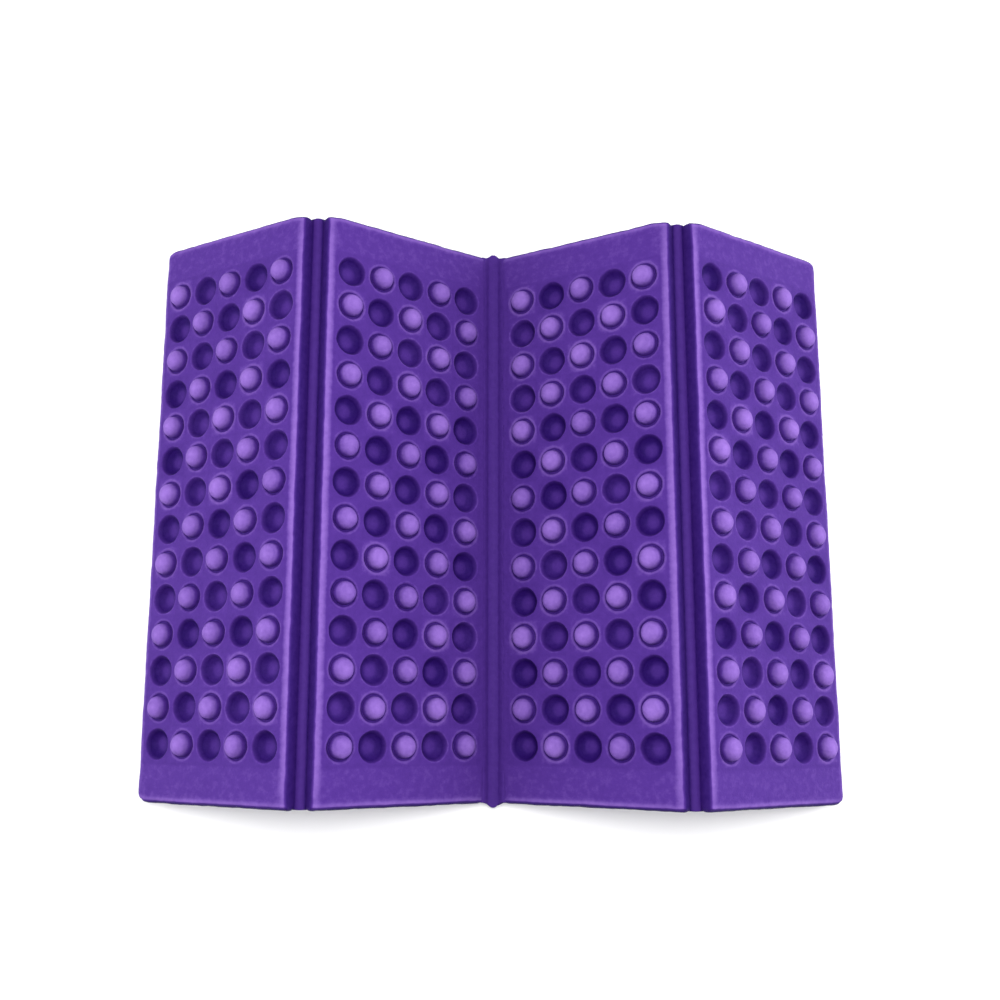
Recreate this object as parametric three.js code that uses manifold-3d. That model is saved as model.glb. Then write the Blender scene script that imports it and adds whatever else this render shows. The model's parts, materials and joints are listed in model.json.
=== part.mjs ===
// A folding kneeling and sitting pad of moulded closed-cell foam.
//
// Four long panels stand in a low zigzag: two ridges with the valley between them. Each panel carries
// five columns of moulded relief on both faces, where a bump on one face stands over a dimple in the
// other. Three thin webs of the same foam are the folds. The ridge webs lie at the back face, with an
// open groove above them, and the valley web lies at the top face, with its groove below.
//
// Millimetres, +Z up. X runs across the folds and Y along them. The origin is on the ground, under the
// middle of the centre fold.

import * as THREE from 'three';
import { mergeGeometries, mergeVertices } from 'three/addons/utils/BufferGeometryUtils.js';
import Module from 'manifold-3d';

const wasm = await Module();
wasm.setup();

// Panels
const PAD_LENGTH = 288;
const PANEL_WIDTH = 95;
const PANEL_THICKNESS = 8;
const CORNER_RADIUS = 4;
const EDGE_CHAMFER = 1.5;
const PANEL_TILT = THREE.MathUtils.degToRad(33);

// Folds: the hinge line stands off the face that closes, so that stacked faces keep twice this gap
const RIDGE_WEB_WIDTH = 3;
const VALLEY_WEB_WIDTH = 10.5;
const WEB_THICKNESS = 1.4;
const HINGE_STANDOFF = 0.5;
const WEB_GAP = 0.3;

// Relief: a checkerboard of round bumps and dimples, the same depth on both faces
const COLUMNS = 5;
const ROWS = 14;
const COLUMN_PITCH = 17.3;
const ROW_PITCH = 17.8;
const RIDGE_MARGIN_EXTRA = 0.7;
const BUMP = { baseRadius: 6.3, tipRadius: 4.8, height: 4.6 };
const DIMPLE = { rimRadius: 7.5, floorRadius: 6.2, depth: 4.4 };
const RELIEF_SIDES = 8;
const OVERLAP = 0.5;

const foam = {
  outer: new THREE.MeshStandardMaterial({ color: 0x6f4aa8, roughness: 0.8, metalness: 0 }),
  inner: new THREE.MeshStandardMaterial({ color: 0x6a45a2, roughness: 0.8, metalness: 0 }),
  web: new THREE.MeshStandardMaterial({ color: 0x4b3090, roughness: 0.75, metalness: 0 }),
};

/** Turns a closed three.js geometry into a solid that can be joined and cut. */
function toSolid(geometry) {
  const bare = geometry.clone();
  bare.deleteAttribute('normal');
  bare.deleteAttribute('uv');
  const merged = mergeVertices(bare, 1e-4);
  return new wasm.Manifold(new wasm.Mesh({
    numProp: 3,
    vertProperties: new Float32Array(merged.attributes.position.array),
    triVerts: new Uint32Array(merged.index.array),
  }));
}

/** Turns a solid back into a geometry with flat-shaded faces. */
function toGeometry(solid) {
  const mesh = solid.getMesh();
  const geometry = new THREE.BufferGeometry();
  geometry.setAttribute('position', new THREE.BufferAttribute(new Float32Array(mesh.vertProperties), 3));
  geometry.setIndex(new THREE.BufferAttribute(new Uint32Array(mesh.triVerts), 1));
  geometry.computeVertexNormals();
  return geometry;
}

/** A rectangle with rounded corners, its left edge on x = 0 and its middle on y = 0. */
function panelOutline() {
  const half = PAD_LENGTH / 2;
  const r = CORNER_RADIUS;
  const w = PANEL_WIDTH;
  const outline = new THREE.Shape();
  outline.moveTo(r, -half);
  outline.lineTo(w - r, -half);
  outline.absarc(w - r, -half + r, r, -Math.PI / 2, 0);
  outline.lineTo(w, half - r);
  outline.absarc(w - r, half - r, r, 0, Math.PI / 2);
  outline.lineTo(r, half);
  outline.absarc(r, half - r, r, Math.PI / 2, Math.PI);
  outline.lineTo(0, -half + r);
  outline.absarc(r, -half + r, r, Math.PI, 1.5 * Math.PI);
  return outline;
}

/** The plain slab of a panel: top face on z = 0, back face on z = -PANEL_THICKNESS. */
function panelSlab() {
  const slab = new THREE.ExtrudeGeometry(panelOutline(), {
    depth: PANEL_THICKNESS - 2 * EDGE_CHAMFER,
    bevelEnabled: true,
    bevelThickness: EDGE_CHAMFER,
    bevelSize: EDGE_CHAMFER,
    bevelOffset: -EDGE_CHAMFER,
    bevelSegments: 1,
    curveSegments: 3,
  });
  slab.translate(0, 0, EDGE_CHAMFER - PANEL_THICKNESS);
  return toSolid(slab);
}

/** A faceted frustum along Z, between a low radius at z0 and a high radius at z1. */
function frustum(x, y, z0, z1, lowRadius, highRadius) {
  const shape = new THREE.CylinderGeometry(highRadius, lowRadius, z1 - z0, RELIEF_SIDES);
  shape.rotateX(Math.PI / 2);
  shape.translate(x, y, (z0 + z1) / 2);
  return shape;
}

/** Grows a frustum's end past the face it meets, keeping its slope. */
function pastFace(faceRadius, farRadius, reach) {
  return faceRadius + (faceRadius - farRadius) * (OVERLAP / reach);
}

/** The relief of one cell: what is added to the slab and what is cut from it, on both faces. */
function reliefCell(x, y, bumpOnTop, added, cut) {
  const top = 0;
  const back = -PANEL_THICKNESS;
  const bumpBase = pastFace(BUMP.baseRadius, BUMP.tipRadius, BUMP.height);
  const dimpleRim = pastFace(DIMPLE.rimRadius, DIMPLE.floorRadius, DIMPLE.depth);
  if (bumpOnTop) {
    added.push(frustum(x, y, top - OVERLAP, top + BUMP.height, bumpBase, BUMP.tipRadius));
    cut.push(frustum(x, y, back - OVERLAP, back + DIMPLE.depth, dimpleRim, DIMPLE.floorRadius));
  } else {
    added.push(frustum(x, y, back - BUMP.height, back + OVERLAP, BUMP.tipRadius, bumpBase));
    cut.push(frustum(x, y, top - DIMPLE.depth, top + OVERLAP, DIMPLE.floorRadius, dimpleRim));
  }
}

/** Where a panel's first column stands. The margin at the ridge is a little wider than the other one. */
function firstColumnPlace(ridgeOnLeft) {
  const centred = (PANEL_WIDTH - (COLUMNS - 1) * COLUMN_PITCH) / 2;
  return centred + (ridgeOnLeft ? RIDGE_MARGIN_EXTRA : -RIDGE_MARGIN_EXTRA);
}

/** One panel. The checkerboard runs on from panel to panel, so each panel knows its first column. */
function panelGeometry(firstColumn, ridgeOnLeft) {
  const added = [];
  const cut = [];
  const firstX = firstColumnPlace(ridgeOnLeft);
  const firstY = (ROWS - 1) * ROW_PITCH / 2;
  for (let column = 0; column < COLUMNS; column += 1) {
    for (let row = 0; row < ROWS; row += 1) {
      const bumpOnTop = (firstColumn + column + row) % 2 === 0;
      reliefCell(firstX + column * COLUMN_PITCH, firstY - row * ROW_PITCH, bumpOnTop, added, cut);
    }
  }
  const withBumps = panelSlab().add(toSolid(mergeGeometries(added)));
  return toGeometry(withBumps.subtract(toSolid(mergeGeometries(cut))));
}

/** The web of a fold: a bent strip about its hinge line, which opens down (bend 1) or up (bend -1). */
function webGeometry(width, bend) {
  const reach = width / 2 - WEB_GAP;
  const near = HINGE_STANDOFF;
  const far = HINGE_STANDOFF + WEB_THICKNESS;
  const cos = Math.cos(PANEL_TILT);
  const sin = Math.sin(PANEL_TILT);
  const alongPanel = (u, n) => [u * cos + n * sin, bend * (n * cos - u * sin)];
  const [xNear, zNear] = alongPanel(reach, near);
  const [xFar, zFar] = alongPanel(reach, far);
  const profile = new THREE.Shape();
  profile.moveTo(0, bend * near / cos);
  profile.lineTo(xNear, zNear);
  profile.lineTo(xFar, zFar);
  profile.lineTo(0, bend * far / cos);
  profile.lineTo(-xFar, zFar);
  profile.lineTo(-xNear, zNear);
  const strip = new THREE.ExtrudeGeometry(profile, { depth: PAD_LENGTH, bevelEnabled: false });
  strip.translate(0, 0, -PAD_LENGTH / 2);
  strip.rotateX(Math.PI / 2);
  return strip;
}

/** How far the hinge line of the valley stands over the ground, on which the lowest bumps rest. */
function valleyHeight(rising, backFace) {
  const valleyReach = VALLEY_WEB_WIDTH / 2;
  const lowestTip = valleyReach + firstColumnPlace(false) - BUMP.tipRadius;
  const slabFoot = rising(valleyReach + EDGE_CHAMFER, -backFace).y;
  const bumpFoot = rising(lowestTip, -backFace - BUMP.height).y;
  return -Math.min(slabFoot, bumpFoot);
}

/** Where the hinge lines and panels stand, across the folds, for the right half of the pad. */
function layout() {
  const cos = Math.cos(PANEL_TILT);
  const sin = Math.sin(PANEL_TILT);
  const rising = (u, n) => new THREE.Vector2(u * cos - n * sin, u * sin + n * cos);
  const falling = (u, n) => new THREE.Vector2(u * cos + n * sin, n * cos - u * sin);
  const valleyReach = VALLEY_WEB_WIDTH / 2;
  const ridgeReach = RIDGE_WEB_WIDTH / 2;
  const backFace = PANEL_THICKNESS + HINGE_STANDOFF;
  const ridgeFromValley = rising(valleyReach + PANEL_WIDTH + ridgeReach, -backFace - HINGE_STANDOFF);
  const valley = new THREE.Vector2(0, valleyHeight(rising, backFace));
  const innerPanel = valley.clone().add(rising(valleyReach, -HINGE_STANDOFF));
  const ridge = valley.clone().add(ridgeFromValley);
  const outerPanel = ridge.clone().add(falling(ridgeReach, backFace));
  return { valley, innerPanel, ridge, outerPanel };
}

/** Adds one named mesh at a place across the folds, turned about Y. */
function addPiece(pad, name, geometry, material, place, turn) {
  const piece = new THREE.Mesh(geometry, material);
  piece.name = name;
  piece.position.set(place.x, 0, place.y);
  piece.rotation.y = turn;
  pad.add(piece);
}

/** The mirror place of a panel on the left: its own left edge is the far end of the right one. */
function mirrored(place, slope) {
  const farEnd = new THREE.Vector2(PANEL_WIDTH * Math.cos(slope), PANEL_WIDTH * Math.sin(slope));
  const end = place.clone().add(farEnd);
  return new THREE.Vector2(-end.x, end.y);
}

const at = layout();
const pad = new THREE.Group();

const panels = [
  ['left_outer_panel', foam.outer, mirrored(at.outerPanel, -PANEL_TILT), PANEL_TILT],
  ['left_inner_panel', foam.inner, mirrored(at.innerPanel, PANEL_TILT), -PANEL_TILT],
  ['right_inner_panel', foam.inner, at.innerPanel, PANEL_TILT],
  ['right_outer_panel', foam.outer, at.outerPanel, -PANEL_TILT],
];
panels.forEach(([name, material, place, slope], index) => {
  const ridgeOnLeft = slope < 0;
  addPiece(pad, name, panelGeometry(index * COLUMNS, ridgeOnLeft), material, place, -slope);
});

const leftRidge = new THREE.Vector2(-at.ridge.x, at.ridge.y);
addPiece(pad, 'left_fold_web', webGeometry(RIDGE_WEB_WIDTH, 1), foam.web, leftRidge, 0);
addPiece(pad, 'centre_fold_web', webGeometry(VALLEY_WEB_WIDTH, -1), foam.web, at.valley, 0);
addPiece(pad, 'right_fold_web', webGeometry(RIDGE_WEB_WIDTH, 1), foam.web, at.ridge, 0);

export default pad;
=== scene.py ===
"""A folding kneeling pad of purple closed-cell foam, standing in a low zigzag.

Each panel is one closed skin: a field of round bumps and dimples on both faces, plain margins round
it, and rounded edges. Each fold is a thin web of the same foam that bends between its two panels.
Lengths are written in millimetres in the panel's own frame (u across, v along the fold, n out of the
top face) and become metres when a piece is placed.
"""

import json
import math
import random

import bpy
import numpy as np
from mathutils import Matrix, Vector, noise


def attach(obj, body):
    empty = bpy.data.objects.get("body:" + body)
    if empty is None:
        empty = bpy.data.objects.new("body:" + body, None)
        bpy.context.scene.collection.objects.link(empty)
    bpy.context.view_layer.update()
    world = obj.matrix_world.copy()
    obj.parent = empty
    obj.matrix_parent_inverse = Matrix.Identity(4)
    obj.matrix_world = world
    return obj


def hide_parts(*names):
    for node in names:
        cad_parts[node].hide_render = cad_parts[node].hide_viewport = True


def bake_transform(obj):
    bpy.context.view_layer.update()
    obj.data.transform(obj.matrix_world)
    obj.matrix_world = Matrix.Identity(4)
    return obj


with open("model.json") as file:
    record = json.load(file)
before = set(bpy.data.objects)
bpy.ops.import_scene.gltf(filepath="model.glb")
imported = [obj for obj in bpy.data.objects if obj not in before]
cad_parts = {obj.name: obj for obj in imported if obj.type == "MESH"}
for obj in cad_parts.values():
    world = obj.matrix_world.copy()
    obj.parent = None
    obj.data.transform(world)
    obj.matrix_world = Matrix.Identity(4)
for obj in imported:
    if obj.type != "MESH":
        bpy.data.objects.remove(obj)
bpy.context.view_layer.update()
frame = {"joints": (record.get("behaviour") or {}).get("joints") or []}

MM = 0.001

# The CAD model's driving dimensions, in millimetres and radians
PAD_LENGTH = 288.0
PANEL_WIDTH = 95.0
PANEL_THICKNESS = 8.0
PANEL_TILT = math.radians(33)
RIDGE_WEB_WIDTH = 3.0
VALLEY_WEB_WIDTH = 10.5
HINGE_STANDOFF = 0.5
COLUMNS = 5
ROWS = 14
COLUMN_PITCH = 17.3
ROW_PITCH = 17.8
RIDGE_MARGIN_EXTRA = 0.7

# Tone is how pale the foam is painted. It runs from -1, painted shade in a hollow, to 1, a painted
# highlight over a crown that is partly also the paler stretched skin, and each vertex carries its own.

# The edges of a panel, by kind, in millimetres:
#   reach        how far the rounding reaches in from the edge
#   drop         how far the top and the back face fall over that reach
#   corner       the radius of the corners beside the edge
#   tone         painted shade on the wall, and a painted highlight on the rounding's crown except at the valley
#   rise, fade   the distances from the edge over which the crown's tone comes in and goes out
EDGES = {
    "outer": {
        "reach": 2.0,
        "drop": (2.4, 2.4),
        "corner": 5.0,
        "tone": (-0.4, 0.3),
        "rise": (0.2, 1.0),
        "fade": (1.4, 4.0),
    },
    "end": {
        "reach": 2.6,
        "drop": (4.4, 2.6),
        "corner": 0.0,
        "tone": (-1.0, 0.55),
        "rise": (1.0, 2.0),
        "fade": (2.2, 4.4),
    },
    "ridge": {
        "reach": 1.4,
        "drop": (1.4, 0.45),
        "corner": 2.4,
        "tone": (-0.8, 0.65),
        "rise": (0.0, 1.3),
        "fade": (1.6, 5.6),
    },
    "valley": {
        "reach": 1.8,
        "drop": (0.25, 2.4),
        "corner": 2.0,
        "tone": (-0.2, -0.1),
        "rise": (0.0, 1.0),
        "fade": (1.0, 3.0),
    },
}
EDGE_STEPS = 6
WALL_STEPS = 3
MARGIN_STEP = 1.2  # about how far apart the lines over a plain margin are

# The far end is trimmed beside the ridges: by how much, and over what distances across and along
TRIM_DEPTH = 1.3
TRIM_ACROSS = 9.0
TRIM_ALONG = 14.0

# The relief field, in millimetres
LAND_TONE = -0.12
LAND_RISE = 0.25  # the field swells a little above the plain margins
# The paler land close round a bump is a painted highlight on its lit rim
BUMP_RIM_HIGHLIGHT = 0.12  # how much paler the land is close round a bump
CELL_SEGMENTS = 8  # along each side of a cell's square, so 32 round each circle
CELL_RING = 8.25  # the last circle on the flat land between cells
CELL_DRIFT = 0.08  # how far a cell's middle may be off
CELL_DEPTHS = (0.95, 1.0)  # how deep or high a cell is, as a share of its profile
CELL_SHADE = 0.12  # how far a cell's tone may be off

# Relief profiles: corners as (radius, height, rounding, tone), from the land in to the middle, and the
# middle as (height, tone)
# The bump's tones paint shade into its moat and a highlight on the rim round it and over its crown,
# partly also the paler stretched skin
BUMP_PROFILE = [
    (7.3, 0.15, 1.7, 0.18),
    (6.4, -0.8, 0.6, -0.65),
    (5.75, -0.8, 0.5, -0.6),
    (5.5, 0.9, 0.5, 0.0),
    (4.95, 2.9, 1.8, 0.45),
    (3.3, 4.25, 2.4, 0.6),
]
BUMP_MIDDLE = (4.65, 0.8)
# A dimple's tones are painted shade, darkest on its walls
DIMPLE_PROFILE = [
    (7.8, 0.0, 1.2, 0.0),
    (7.1, -0.9, 1.2, -0.6),
    (6.1, -2.7, 1.4, -0.95),
    (4.4, -4.4, 1.6, -0.85),
    (2.4, -4.9, 1.2, -0.45),
]
DIMPLE_MIDDLE = (-5.0, -0.25)
ROUNDING_STEPS = 3
INNER_SHARE = 0.5  # one more ring stands at this share of the innermost radius


# ---------------------------------------------------------------------------------------------------
# Shares and tones


def smooth_step(t):
    """0 up to t = 0, 1 from t = 1 on, and smooth between them."""
    t = min(1.0, max(0.0, t))
    return t * t * (3 - 2 * t)


def between(distance, ends):
    """0 at the first of two distances, 1 at the second, and smooth between them."""
    return smooth_step((distance - ends[0]) / (ends[1] - ends[0]))


def edge_share(ring):
    """1 at the widest line of an edge's rounding, 0 on the flat face."""
    if ring >= EDGE_STEPS:
        return 0.0
    return 1 - math.cos(math.pi / 2 * (1 - ring / EDGE_STEPS))


def edge_tone(distance, kind):
    """An edge's tone: the wall's painted shade, the crown's painted highlight, then the flat face's 0.
    """
    wall, crown = kind["tone"]
    rise = between(distance, kind["rise"])
    return wall * (1 - rise) + crown * rise * (1 - between(distance, kind["fade"]))


# ---------------------------------------------------------------------------------------------------
# Relief profiles


def rounded_profile(corners, middle):
    """(radius, height, tone) along a broken line whose corners are rounded, from the land inwards."""
    points = [(CELL_RING, 0.0)] + [(r, h) for r, h, _, _ in corners] + [(0.0, middle[0])]
    rings = []
    for k, (_, _, rounding, tone) in enumerate(corners, start=1):
        here, before, after = (np.array(points[i], float) for i in (k, k - 1, k + 1))
        back, on = before - here, after - here
        room_back, room_on = np.linalg.norm(back) / 2, np.linalg.norm(on) / 2
        back, on = back / np.linalg.norm(back), on / np.linalg.norm(on)
        half_angle = math.acos(float(np.clip(back @ on, -1, 1))) / 2
        reach = min(rounding / math.tan(half_angle), room_back, room_on)
        start, end = here + back * reach, here + on * reach
        for i in range(ROUNDING_STEPS + 1):
            t = i / ROUNDING_STEPS
            r, h = (1 - t) ** 2 * start + 2 * t * (1 - t) * here + t * t * end
            rings.append((r, h, tone))
    radius, height, tone = rings[-1]
    middle_height, middle_tone = middle
    inner_height = middle_height + (height - middle_height) * INNER_SHARE**2
    inner_tone = middle_tone + (tone - middle_tone) * INNER_SHARE
    rings.append((radius * INNER_SHARE, inner_height, inner_tone))
    return rings


BUMP = {
    "rings": rounded_profile(BUMP_PROFILE, BUMP_MIDDLE),
    "middle": BUMP_MIDDLE,
    "land_tone": LAND_TONE + BUMP_RIM_HIGHLIGHT,
}
DIMPLE = {
    "rings": rounded_profile(DIMPLE_PROFILE, DIMPLE_MIDDLE),
    "middle": DIMPLE_MIDDLE,
    "land_tone": LAND_TONE,
}


# ---------------------------------------------------------------------------------------------------
# A mesh under construction


class Skin:
    """Vertices, their tones and faces in the panel's frame; points that coincide become one vertex."""

    def __init__(self):
        self.points = []
        self.tones = []
        self.faces = []
        self.index = {}

    def point(self, u, v, n, tone):
        key = (round(u, 3), round(v, 3), round(n, 3))
        if key not in self.index:
            self.index[key] = len(self.points)
            self.points.append((u, v, n))
            self.tones.append(tone)
        return self.index[key]

    def face(self, corners, flip=False):
        """Adds a face, unless its corners fall together on a line."""
        corners = list(dict.fromkeys(corners))
        if len(corners) > 2:
            self.faces.append(corners[::-1] if flip else corners)


def face_height(height, layer):
    """The n of a height over the top face (layer 0) or over the back face (layer 1)."""
    return height if layer == 0 else -PANEL_THICKNESS - height


# ---------------------------------------------------------------------------------------------------
# The grid of a panel


def edge_lines(reach, margin):
    """Distances from an edge over its rounding and the plain margin."""
    quarter = math.pi / 2
    rounding = [reach * (1 - math.sin(quarter * (1 - k / EDGE_STEPS))) for k in range(EDGE_STEPS + 1)]
    steps = max(1, round((margin - reach) / MARGIN_STEP))
    return rounding + [reach + (margin - reach) * (k + 1) / steps for k in range(steps)]


def grid_lines(length, cells, pitch, kinds):
    """Distances across a panel, and the indices of the lines that bound the cells."""
    spare = length - cells * pitch
    shift = RIDGE_MARGIN_EXTRA * ((kinds[0] == "ridge") - (kinds[1] == "ridge"))
    margin = spare / 2 + shift
    low = edge_lines(EDGES[kinds[0]]["reach"], margin)
    high = edge_lines(EDGES[kinds[1]]["reach"], spare - margin)
    inner = [margin + pitch * k / CELL_SEGMENTS for k in range(1, cells * CELL_SEGMENTS)]
    lines = low + inner + [length - d for d in reversed(high)]
    return lines, len(low) - 1, len(low) + len(inner)


def round_corner(x, y, radius):
    """Turns the square rings of a corner into round ones: x and y count from the panel's low corner."""
    near_x, near_y = min(x, PANEL_WIDTH - x), min(y, PAD_LENGTH - y)
    a, b = radius - near_x, radius - near_y
    if a <= 0 or b <= 0:
        return x, y
    if a >= b:
        angle = math.pi / 4 * (b / a)
        a, b = a * math.cos(angle), a * math.sin(angle)
    else:
        angle = math.pi / 4 * (a / b)
        a, b = b * math.sin(angle), b * math.cos(angle)
    new_x, new_y = radius - a, radius - b
    x = new_x if x < PANEL_WIDTH / 2 else PANEL_WIDTH - new_x
    y = new_y if y < PAD_LENGTH / 2 else PAD_LENGTH - new_y
    return x, y


def trim(from_side, from_end):
    """How far a point near a trimmed end moves in."""
    return TRIM_DEPTH * smooth_step(1 - from_side / TRIM_ACROSS) * smooth_step(1 - from_end / TRIM_ALONG)


class PanelGrid:
    """A panel's points by the numbers of the lines that cross there: i across, j along."""

    def __init__(self, skin, sides):
        self.skin = skin
        self.sides = [EDGES[kind] for kind in sides]
        self.end = EDGES["end"]
        self.lines_u, self.first_i, self.end_i = grid_lines(PANEL_WIDTH, COLUMNS, COLUMN_PITCH, sides)
        self.lines_v, self.first_j, self.end_j = grid_lines(PAD_LENGTH, ROWS, ROW_PITCH, ("end", "end"))
        self.last_i = len(self.lines_u) - 1
        self.last_j = len(self.lines_v) - 1

    def side(self, i):
        """The kind of the nearer side edge."""
        return self.sides[0] if i < self.last_i / 2 else self.sides[1]

    def side_share(self, i, j):
        """0 on an end edge, 1 on a side edge, and between them round a corner."""
        ring_u, ring_v = min(i, self.last_i - i), min(j, self.last_j - j)
        if ring_u + ring_v == 0:
            return 0.5
        return smooth_step(ring_v / (ring_u + ring_v))

    def place(self, i, j):
        """The point's distances from the panel's low corner."""
        side = self.side(i)
        x, y = round_corner(self.lines_u[i], self.lines_v[j], side["corner"])
        if side is EDGES["ridge"] and y > PAD_LENGTH / 2:
            y -= trim(min(x, PANEL_WIDTH - x), PAD_LENGTH - y)
        return x, y

    def height_and_tone(self, i, j, layer):
        if self.first_i <= i <= self.end_i and self.first_j <= j <= self.end_j:
            return LAND_RISE, LAND_TONE
        side, share = self.side(i), self.side_share(i, j)
        ring = min(i, self.last_i - i, j, self.last_j - j)
        drop = share * side["drop"][layer] + (1 - share) * self.end["drop"][layer]
        off_side = min(self.lines_u[i], PANEL_WIDTH - self.lines_u[i])
        off_end = min(self.lines_v[j], PAD_LENGTH - self.lines_v[j])
        # Near the edges the tone is painted shade on the walls and a painted highlight on the crowns
        tone = share * edge_tone(off_side, side) + (1 - share) * edge_tone(off_end, self.end)
        return -edge_share(ring) * drop, tone

    def point(self, i, j, layer):
        x, y = self.place(i, j)
        height, tone = self.height_and_tone(i, j, layer)
        return self.skin.point(x, y - PAD_LENGTH / 2, face_height(height, layer), tone)

    def wall_point(self, i, j, step):
        """A point of the wall, counted down from the top face's edge to the back face's, in the wall's
        painted shade.
        """
        x, y, high = self.skin.points[self.point(i, j, 0)]
        low = self.skin.points[self.point(i, j, 1)][2]
        share = self.side_share(i, j)
        tone = share * self.side(i)["tone"][0] + (1 - share) * self.end["tone"][0]
        return self.skin.point(x, y, high + (low - high) * step / WALL_STEPS, tone)

    def outline(self):
        """The panel's edge, counted round."""
        return (
            [(i, 0) for i in range(self.last_i)]
            + [(self.last_i, j) for j in range(self.last_j)]
            + [(i, self.last_j) for i in range(self.last_i, 0, -1)]
            + [(0, j) for j in range(self.last_j, 0, -1)]
        )

    def cell_square(self, column, row, layer):
        """A cell's corner points' low and high one, and the points round its square."""
        size = CELL_SEGMENTS
        i0, j0 = self.first_i + column * size, self.first_j + row * size
        square = (
            [(i0 + size, j0 + k) for k in range(size // 2, size)]
            + [(i0 + size - k, j0 + size) for k in range(size)]
            + [(i0, j0 + size - k) for k in range(size)]
            + [(i0 + k, j0) for k in range(size)]
            + [(i0 + size, j0 + k) for k in range(size // 2)]
        )
        rim = [self.point(i, j, layer) for i, j in square]
        low = self.skin.points[self.point(i0, j0, layer)]
        high = self.skin.points[self.point(i0 + size, j0 + size, layer)]
        return low, high, rim


# ---------------------------------------------------------------------------------------------------
# The skin of a panel


def add_plain_faces(skin, grid, layer):
    """The margins and rounded edges of one face: all of it but the cells."""
    for i in range(grid.last_i):
        for j in range(grid.last_j):
            if grid.first_i <= i < grid.end_i and grid.first_j <= j < grid.end_j:
                continue
            around = ((i, j), (i + 1, j), (i + 1, j + 1), (i, j + 1))
            skin.face([grid.point(a, b, layer) for a, b in around], flip=layer == 1)


def add_cell(skin, square, shape, layer, rng):
    """One cell of the relief: from the square land in to its bump or dimple."""
    low, high, rim = square
    centre_u = (low[0] + high[0]) / 2 + rng.uniform(-CELL_DRIFT, CELL_DRIFT)
    centre_v = (low[1] + high[1]) / 2 + rng.uniform(-CELL_DRIFT, CELL_DRIFT)
    depth = rng.uniform(*CELL_DEPTHS)
    shade = rng.uniform(-CELL_SHADE, CELL_SHADE)
    count = len(rim)
    previous = rim
    for radius, height, tone in [(CELL_RING, 0.0, shape["land_tone"])] + shape["rings"]:
        n = face_height(LAND_RISE + height * depth, layer)
        ring = []
        for k in range(count):
            angle = 2 * math.pi * k / count
            u, v = centre_u + radius * math.cos(angle), centre_v + radius * math.sin(angle)
            ring.append(skin.point(u, v, n, tone + shade))
        for k in range(count):
            following = (k + 1) % count
            skin.face([previous[k], previous[following], ring[following], ring[k]], flip=layer == 1)
        previous = ring
    height, tone = shape["middle"]
    n = face_height(LAND_RISE + height * depth, layer)
    middle = skin.point(centre_u, centre_v, n, tone + shade)
    for k in range(count):
        skin.face([previous[k], previous[(k + 1) % count], middle], flip=layer == 1)


def add_relief(skin, grid, first_column, layer, rng):
    """One face's cells. The checkerboard runs on from panel to panel."""
    for column in range(COLUMNS):
        for row in range(ROWS):
            bump_on_top = (first_column + column + ROWS - 1 - row) % 2 == 0
            shape = BUMP if bump_on_top == (layer == 0) else DIMPLE
            add_cell(skin, grid.cell_square(column, row, layer), shape, layer, rng)


def add_walls(skin, grid):
    outline = grid.outline()
    for here, following in zip(outline, outline[1:] + outline[:1]):
        for step in range(WALL_STEPS):
            corners = [
                grid.wall_point(*here, step),
                grid.wall_point(*here, step + 1),
                grid.wall_point(*following, step + 1),
                grid.wall_point(*following, step),
            ]
            skin.face(corners)


def panel_skin(first_column, sides, seed):
    """One panel's closed skin. sides names the kinds of its low-u and high-u edges."""
    skin = Skin()
    rng = random.Random(seed)
    grid = PanelGrid(skin, sides)
    for layer in (0, 1):
        add_plain_faces(skin, grid, layer)
        add_relief(skin, grid, first_column, layer, rng)
    add_walls(skin, grid)
    return skin


# ---------------------------------------------------------------------------------------------------
# Materials

# Tone and colour, from the darkest painted shade at -1 to the palest painted highlight at 1
FOAM_TONES = [
    (-1.0, (0.014, 0.0005, 0.09)),
    (0.0, (0.062, 0.02, 0.205)),
    (1.0, (0.25, 0.132, 0.49)),
]
PANEL_ROUGHNESS = 0.75
WEB_ROUGHNESS = 0.7
FOAM_SPECULAR = 0.12
CLOUD_SCALE = 300
CLOUD_TONE = 0.6  # the range of tone that the clouding covers
CELL_SCALE = 1500
GRAIN_SCALE = 520
CELL_BUMP = (0.35, 0.00015)  # strength, and height in metres
GRAIN_BUMP = (0.5, 0.0006)


def ramp(nodes, stops):
    """A colour ramp over tones from -1 to 1, given as (tone, colour)."""
    node = nodes.new("ShaderNodeValToRGB")
    elements = node.color_ramp.elements
    while len(elements) > 1:
        elements.remove(elements[-1])
    for k, (tone, colour) in enumerate(stops):
        place = (tone + 1) / 2
        element = elements[0] if k == 0 else elements.new(place)
        element.position = place
        element.color = (*colour, 1)
    return node


def math_node(material, operation, first, second):
    """A Math node; each operand is a number or an output."""
    node = material.node_tree.nodes.new("ShaderNodeMath")
    node.operation = operation
    for socket, value in zip(node.inputs, (first, second)):
        if isinstance(value, (int, float)):
            socket.default_value = value
        else:
            material.node_tree.links.new(value, socket)
    return node.outputs["Value"]


def noise_texture(material, place, scale, detail, roughness=0.5):
    """A Noise Texture's value over the piece."""
    node = material.node_tree.nodes.new("ShaderNodeTexNoise")
    node.inputs["Scale"].default_value = scale
    node.inputs["Detail"].default_value = detail
    node.inputs["Roughness"].default_value = roughness
    material.node_tree.links.new(place, node.inputs["Vector"])
    return node.outputs["Fac"]


def bump_node(material, height, strength_and_distance):
    """A Bump node over a height."""
    node = material.node_tree.nodes.new("ShaderNodeBump")
    strength, distance = strength_and_distance
    node.inputs["Strength"].default_value = strength
    node.inputs["Distance"].default_value = distance
    material.node_tree.links.new(height, node.inputs["Height"])
    return node


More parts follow.
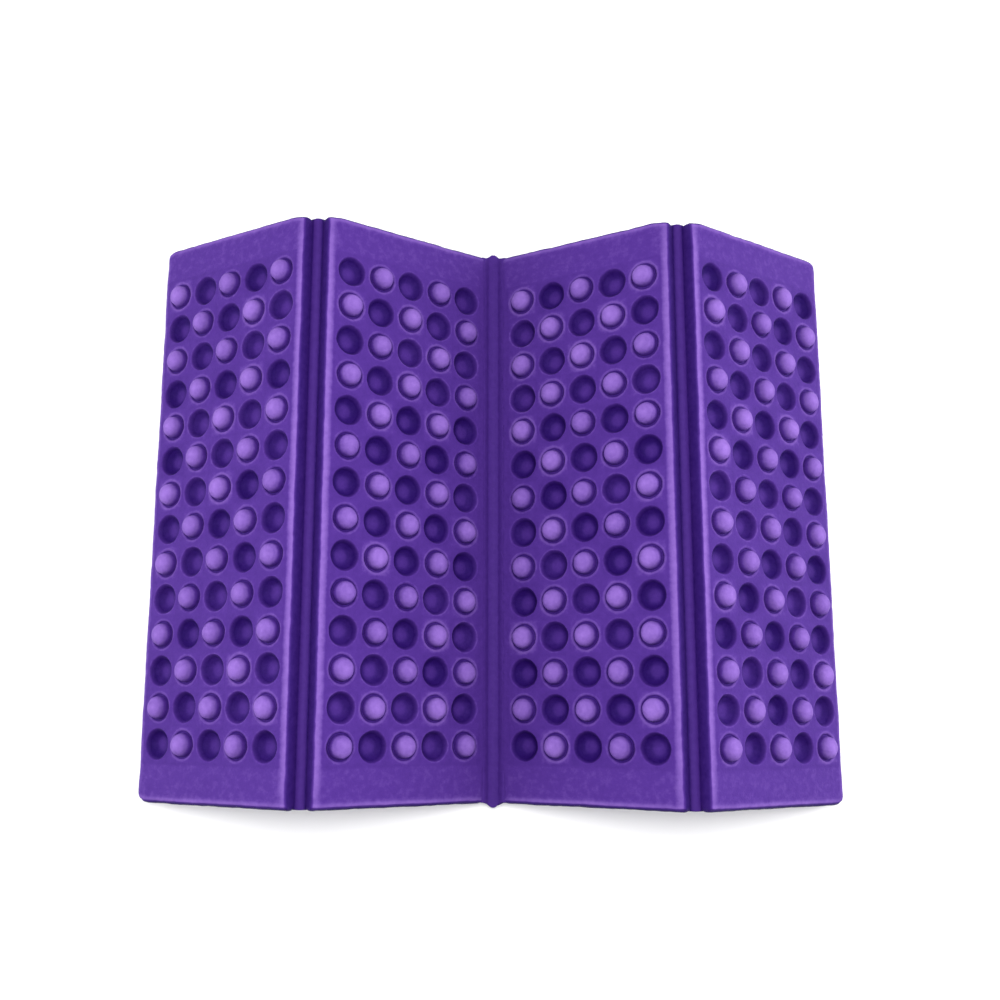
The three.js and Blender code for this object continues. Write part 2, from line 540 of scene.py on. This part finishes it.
def colour_foam(material, place, shader):
    """The foam's colour follows its tone of painted shade and highlight, with soft clouding."""
    nodes, links = material.node_tree.nodes, material.node_tree.links
    clouds = noise_texture(material, place, CLOUD_SCALE, detail=6, roughness=0.65)
    tone = nodes.new("ShaderNodeAttribute")
    tone.attribute_name = "tone"
    centred = math_node(material, "SUBTRACT", clouds, 0.5)
    cloudy = math_node(material, "MULTIPLY", centred, CLOUD_TONE)
    mixed = math_node(material, "ADD", tone.outputs["Fac"], cloudy)
    unit = math_node(material, "MULTIPLY", math_node(material, "ADD", mixed, 1), 0.5)
    colour = ramp(nodes, FOAM_TONES)
    links.new(unit, colour.inputs["Fac"])
    links.new(colour.outputs["Color"], shader.inputs["Base Color"])


def grain_foam(material, place, shader):
    """The fine cells of the foam over a coarser grain."""
    nodes, links = material.node_tree.nodes, material.node_tree.links
    cells = nodes.new("ShaderNodeTexVoronoi")
    cells.inputs["Scale"].default_value = CELL_SCALE
    links.new(place, cells.inputs["Vector"])
    grain = noise_texture(material, place, GRAIN_SCALE, detail=5)
    fine = bump_node(material, cells.outputs["Distance"], CELL_BUMP)
    coarse = bump_node(material, grain, GRAIN_BUMP)
    links.new(fine.outputs["Normal"], coarse.inputs["Normal"])
    links.new(coarse.outputs["Normal"], shader.inputs["Normal"])


def foam_material(name, roughness):
    """Matt closed-cell foam."""
    material = bpy.data.materials.new(name)
    material.use_nodes = True
    nodes = material.node_tree.nodes
    shader = nodes["Principled BSDF"]
    shader.inputs["Roughness"].default_value = roughness
    shader.inputs["Specular IOR Level"].default_value = FOAM_SPECULAR
    place = nodes.new("ShaderNodeTexCoord").outputs["Object"]
    colour_foam(material, place, shader)
    grain_foam(material, place, shader)
    return material


panel_foam = foam_material("panel_foam", PANEL_ROUGHNESS)
web_foam = foam_material("web_foam", WEB_ROUGHNESS)


# ---------------------------------------------------------------------------------------------------
# Placing pieces in the frame

hinge_at = {joint["name"]: Vector(joint["pos_m"]) for joint in frame["joints"]}


def panel_matrix(hinge, slope, first_u, hinge_n):
    """From the panel's frame, in metres, to the row frame. The slope raises +u, and first_u and hinge_n
    place the panel's low-u edge and its top face from the hinge line."""
    turn = Matrix.Rotation(-slope, 4, "Y")
    return Matrix.Translation(hinge) @ turn @ Matrix.Translation((first_u * MM, 0, hinge_n * MM))


def make_object(name, points, tones, faces, matrix):
    """A smooth-shaded piece from points in millimetres."""
    mesh = bpy.data.meshes.new(name)
    mesh.from_pydata([matrix @ (Vector(p) * MM) for p in points], [], faces)
    tone = mesh.attributes.new("tone", "FLOAT", "POINT")
    tone.data.foreach_set("value", tones)
    mesh.validate()
    mesh.shade_smooth()
    piece = bpy.data.objects.new(name, mesh)
    bpy.context.scene.collection.objects.link(piece)
    return piece


def finish_piece(piece, material):
    """Gives a piece its material."""
    piece.data.materials.clear()
    piece.data.materials.append(material)


# ---------------------------------------------------------------------------------------------------
# Build the panels

# The moulded skin isn't perfectly flat or true: (how far points move, the size of the waves)
FINE_WAVES = (0.2, 3.0)
BROAD_WAVES = (0.22, 14)
WAVE_SHIFT = 40  # from panel to panel, so that each has waves of its own
WAVE_SEED = 1

BACK_TO_HINGE = PANEL_THICKNESS + HINGE_STANDOFF
# Each panel's hinge and slope, its low-u edge and its top face from the hinge line, and the kinds of its
# two side edges
PANELS = {
    "left_outer": {
        "joint": "left_fold",
        "slope": PANEL_TILT,
        "first_u": -PANEL_WIDTH - RIDGE_WEB_WIDTH / 2,
        "hinge_n": BACK_TO_HINGE,
        "sides": ("outer", "ridge"),
    },
    "left_inner": {
        "joint": "centre_fold",
        "slope": -PANEL_TILT,
        "first_u": -PANEL_WIDTH - VALLEY_WEB_WIDTH / 2,
        "hinge_n": -HINGE_STANDOFF,
        "sides": ("ridge", "valley"),
    },
    "right_inner": {
        "joint": "centre_fold",
        "slope": PANEL_TILT,
        "first_u": VALLEY_WEB_WIDTH / 2,
        "hinge_n": -HINGE_STANDOFF,
        "sides": ("valley", "ridge"),
    },
    "right_outer": {
        "joint": "right_fold",
        "slope": -PANEL_TILT,
        "first_u": RIDGE_WEB_WIDTH / 2,
        "hinge_n": BACK_TO_HINGE,
        "sides": ("ridge", "outer"),
    },
}


def waved(point, shift, waves):
    """Moves a point a little, in waves that the shift sets off from the other panels' waves."""
    amount, size = waves
    place = Vector(point) + shift
    return place + noise.noise_vector(place / size) * amount - shift


def build_panel(index, body):
    panel = PANELS[body]
    skin = panel_skin(index * COLUMNS, panel["sides"], seed=index)
    matrix = panel_matrix(hinge_at[panel["joint"]], panel["slope"], panel["first_u"], panel["hinge_n"])
    shift = Vector((index * WAVE_SHIFT, 0, 0))
    points = skin.points
    for waves in (FINE_WAVES, BROAD_WAVES):
        points = [waved(p, shift, waves) for p in points]
    piece = make_object(f"{body}_foam", points, skin.tones, skin.faces, matrix)
    finish_piece(piece, panel_foam)
    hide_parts(f"{body}_panel")
    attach(piece, body)


noise.seed_set(WAVE_SEED)
for number, body_name in enumerate(PANELS):
    build_panel(number, body_name)


# ---------------------------------------------------------------------------------------------------
# Build the webs

WEB_THICKNESS = 1.5
WEB_TUCK = 1.4  # how far a web's edges run on inside its panels
WEB_CLEARANCE = 0.12  # between the face that closes and the panels' faces
WEB_SINK = 0.35  # how much deeper the tucked edges lie
WEB_SWELL = 0.3  # how much the outer face thickens into the panels
WEB_STEPS_ALONG = 120
WEB_STEPS_ACROSS = 28
END_ROUNDING = 0.8
END_THINNING = 0.45  # the share of its thickness that a web loses at its ends
GROOVE_WALL = (0.7, 1.5)  # over which a web's tone goes from the middle's to the walls'
NUB_RUN = 5.0  # over which a nub grows at the end of a fold
NUB_EDGE = 1.1

# The valley's rib lies between two creases
CREASE_PLACE = 2.5
CREASE_HEIGHT = 0.22
CREASE_WIDTH = 0.55
# The creases are darkened with painted shade
CREASE_PAINTED_SHADE = -0.12
CREASE_TONE_WIDTH = 0.7
RIB_HEIGHT = 0.12
RIB_WIDTH = 1.8

RIDGE_WEB = {
    "width": RIDGE_WEB_WIDTH,
    "folds_up": True,
    "creased": False,
    "tone": (-0.25, -0.95),
    "nub": (3.4, 0.0),
    "inset": (1.4, 0.4),
}
VALLEY_WEB = {
    "width": VALLEY_WEB_WIDTH,
    "folds_up": False,
    "creased": True,
    "tone": (-0.22, -0.22),
    "nub": (7.0, 2.8),
    "inset": (0.7, 0.7),
}
# A web's tone is given in its middle and at the groove's walls, where it is painted shade, its nub by
# width and length, and its inset is how far its far and near ends stand in from the panels' ends
WEBS = {
    "left_fold_web": {"joint": "left_fold", "bodies": ("left_outer", "left_inner"), **RIDGE_WEB},
    "centre_fold_web": {"joint": "centre_fold", "bodies": ("left_inner", "right_inner"), **VALLEY_WEB},
    "right_fold_web": {"joint": "right_fold", "bodies": ("right_inner", "right_outer"), **RIDGE_WEB},
}


def bell(distance, width, power=2):
    """1 at no distance, falling off smoothly over the width."""
    return math.exp(-((distance / width) ** power))


def near_face(s, web):
    """The face that closes, as a distance from the hinge line."""
    tucked = max(0.0, abs(s) - web["width"] / 2)
    height = HINGE_STANDOFF + WEB_CLEARANCE + WEB_SINK * min(1.0, tucked)
    if web["creased"]:
        height += CREASE_HEIGHT * bell(abs(s) - CREASE_PLACE, CREASE_WIDTH)
        height -= RIB_HEIGHT * bell(s, RIB_WIDTH, power=4)
    return height


def far_face(s, web):
    """The outer face of the bend: it thickens into the panels."""
    return HINGE_STANDOFF + WEB_THICKNESS + WEB_SWELL * min(1.0, abs(2 * s / web["width"])) ** 3


def web_tone(s, web):
    """Painted shade: darker towards the walls of a groove, and in the creases of the valley."""
    middle, wall = web["tone"]
    tone = middle + (wall - middle) * between(abs(s), GROOVE_WALL)
    if web["creased"]:
        tone += CREASE_PAINTED_SHADE * bell(abs(s) - CREASE_PLACE, CREASE_TONE_WIDTH)
    return tone


def web_section(web):
    """The web's section when flat, as (across, away from the hinge line) points counted round."""
    reach = web["width"] / 2 + WEB_TUCK
    across = [reach * (2 * k / WEB_STEPS_ACROSS - 1) for k in range(WEB_STEPS_ACROSS + 1)]
    return [(s, near_face(s, web)) for s in across] + [(s, far_face(s, web)) for s in reversed(across)]


def thinned(section, share):
    """The section near an end: it thins as share goes to 1."""
    middle = HINGE_STANDOFF + WEB_THICKNESS / 2
    return [(s, middle + (h - middle) * (1 - END_THINNING * share * share)) for s, h in section]


def bent(s, h, width):
    """A point of the flat section, bent to the rest angle about the hinge line."""
    slope = PANEL_TILT * (1 - 2 * smooth_step((s + width / 2) / width))
    return s * math.cos(slope) - h * math.sin(slope), s * math.sin(slope) + h * math.cos(slope)


def web_points(web, section):
    """The section's points and tones at each step along the fold."""
    far_end, near_end = (PAD_LENGTH / 2 - inset for inset in web["inset"])
    nub_width, nub_length = web["nub"]
    sign = 1 if web["folds_up"] else -1
    points, tones = [], []
    for step in range(WEB_STEPS_ALONG + 1):
        v = math.sin(math.pi / 2 * (2 * step / WEB_STEPS_ALONG - 1))
        v *= far_end if v > 0 else near_end
        from_end = (far_end if v > 0 else near_end) - abs(v)
        growth = nub_length * (1 - smooth_step(from_end / NUB_RUN))
        for s, h in thinned(section, 1 - smooth_step(from_end / END_ROUNDING)):
            nub = growth * smooth_step(NUB_EDGE - abs(2 * s / nub_width))
            x, z = bent(s, h, web["width"])
            points.append((x, v + math.copysign(nub, v), sign * z))
            tones.append(web_tone(s, web))
    return points, tones


def web_faces(count, sign):
    """The faces round the loft and its two ends, turned out for a web that folds up or down."""
    faces = []
    for step in range(WEB_STEPS_ALONG):
        for k in range(count):
            a, b = step * count + k, step * count + (k + 1) % count
            faces.append([a, a + count, b + count, b][::sign])
    faces.append(list(range(count))[::sign])
    faces.append([WEB_STEPS_ALONG * count + k for k in range(count)][::-sign])
    return faces


def build_web(name):
    """Lofts the bent section along the fold."""
    web = WEBS[name]
    hinge = hinge_at[web["joint"]]
    section = web_section(web)
    points, tones = web_points(web, section)
    faces = web_faces(len(section), 1 if web["folds_up"] else -1)
    piece = make_object(f"{name}_foam", points, tones, faces, Matrix.Translation(hinge))
    finish_piece(piece, web_foam)
    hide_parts(name)
    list(web["bodies"])
    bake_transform(piece)


for web_name in WEBS:
    build_web(web_name)


# ---------------------------------------------------------------------------------------------------
# Stage: floor, light, camera

FLOOR_SIZE = 6
FLOOR_LEVEL = -0.0002
FLOOR_COLOUR = (0.96, 0.96, 0.965, 1)

# The studio's strength is a level plus how far a direction points this way
WORLD_LEVEL = 0.6
WORLD_TOWARDS = (0.06, 0.36, 0.0)

# Lights that face the origin: name, place, size, power
LIGHTS = [
    ("overhead", (-0.02, 0.0, 0.72), 0.5, 4.6),
    ("left", (-0.9, 0.0, 0.3), 0.6, 4.8),
    ("right", (0.9, 0.1, 0.3), 0.6, 6.4),
]

# The camera looks down from close by, a little to the left and towards the near end of the pad
CAMERA_PLACE = (-0.02991, -0.10167, 0.57903)
CAMERA_YAW, CAMERA_PITCH, CAMERA_ROLL = (math.radians(a) for a in (-1.416, 10.713, 0.328))
SENSOR_WIDTH = 36
FOCAL_SHARE = 1.1211  # the focal length as a share of the sensor's width
CAMERA_SHIFT = (0.0368, 0.0047)
CLIP_START = 0.01


def build_floor():
    bpy.ops.mesh.primitive_plane_add(size=FLOOR_SIZE, location=(0, 0, FLOOR_LEVEL))
    floor = bpy.context.object
    floor.name = "floor"
    material = bpy.data.materials.new("pale_floor")
    material.use_nodes = True
    shader = material.node_tree.nodes["Principled BSDF"]
    shader.inputs["Base Color"].default_value = FLOOR_COLOUR
    shader.inputs["Roughness"].default_value = 0.9
    shader.inputs["Specular IOR Level"].default_value = 0.1
    floor.data.materials.append(material)


def build_light(name, place, size, power):
    data = bpy.data.lights.new(name, "AREA")
    data.shape = "DISK"
    data.size = size
    data.energy = power
    light = bpy.data.objects.new(name, data)
    light.location = place
    light.rotation_euler = (-Vector(place)).to_track_quat("-Z", "Y").to_euler()
    bpy.context.scene.collection.objects.link(light)


def build_world():
    """A white studio, brighter towards one side."""
    world = bpy.data.worlds.new("studio")
    world.use_nodes = True
    nodes, links = world.node_tree.nodes, world.node_tree.links
    direction = nodes.new("ShaderNodeTexCoord")
    side = nodes.new("ShaderNodeVectorMath")
    side.operation = "DOT_PRODUCT"
    side.inputs[1].default_value = WORLD_TOWARDS
    links.new(direction.outputs["Generated"], side.inputs[0])
    strength = nodes.new("ShaderNodeMath")
    strength.operation = "ADD"
    strength.inputs[1].default_value = WORLD_LEVEL
    links.new(side.outputs["Value"], strength.inputs[0])
    background = nodes["Background"]
    background.inputs["Color"].default_value = (1, 1, 1, 1)
    links.new(strength.outputs["Value"], background.inputs["Strength"])
    bpy.context.scene.world = world


def build_camera():
    data = bpy.data.cameras.new("camera")
    data.sensor_width = SENSOR_WIDTH
    data.lens = SENSOR_WIDTH * FOCAL_SHARE
    data.shift_x, data.shift_y = CAMERA_SHIFT
    data.clip_start = CLIP_START
    camera = bpy.data.objects.new("camera", data)
    yaw, pitch, roll = (
        Matrix.Rotation(CAMERA_YAW, 3, "Y"),
        Matrix.Rotation(CAMERA_PITCH, 3, "X"),
        Matrix.Rotation(CAMERA_ROLL, 3, "Z"),
    )
    camera.rotation_euler = (yaw @ pitch @ roll).to_euler()
    camera.location = CAMERA_PLACE
    bpy.context.scene.collection.objects.link(camera)
    bpy.context.scene.camera = camera


build_floor()
build_world()
for light_name, light_place, light_size, light_power in LIGHTS:
    build_light(light_name, light_place, light_size, light_power)
build_camera()
bpy.context.scene.view_settings.view_transform = "Standard"
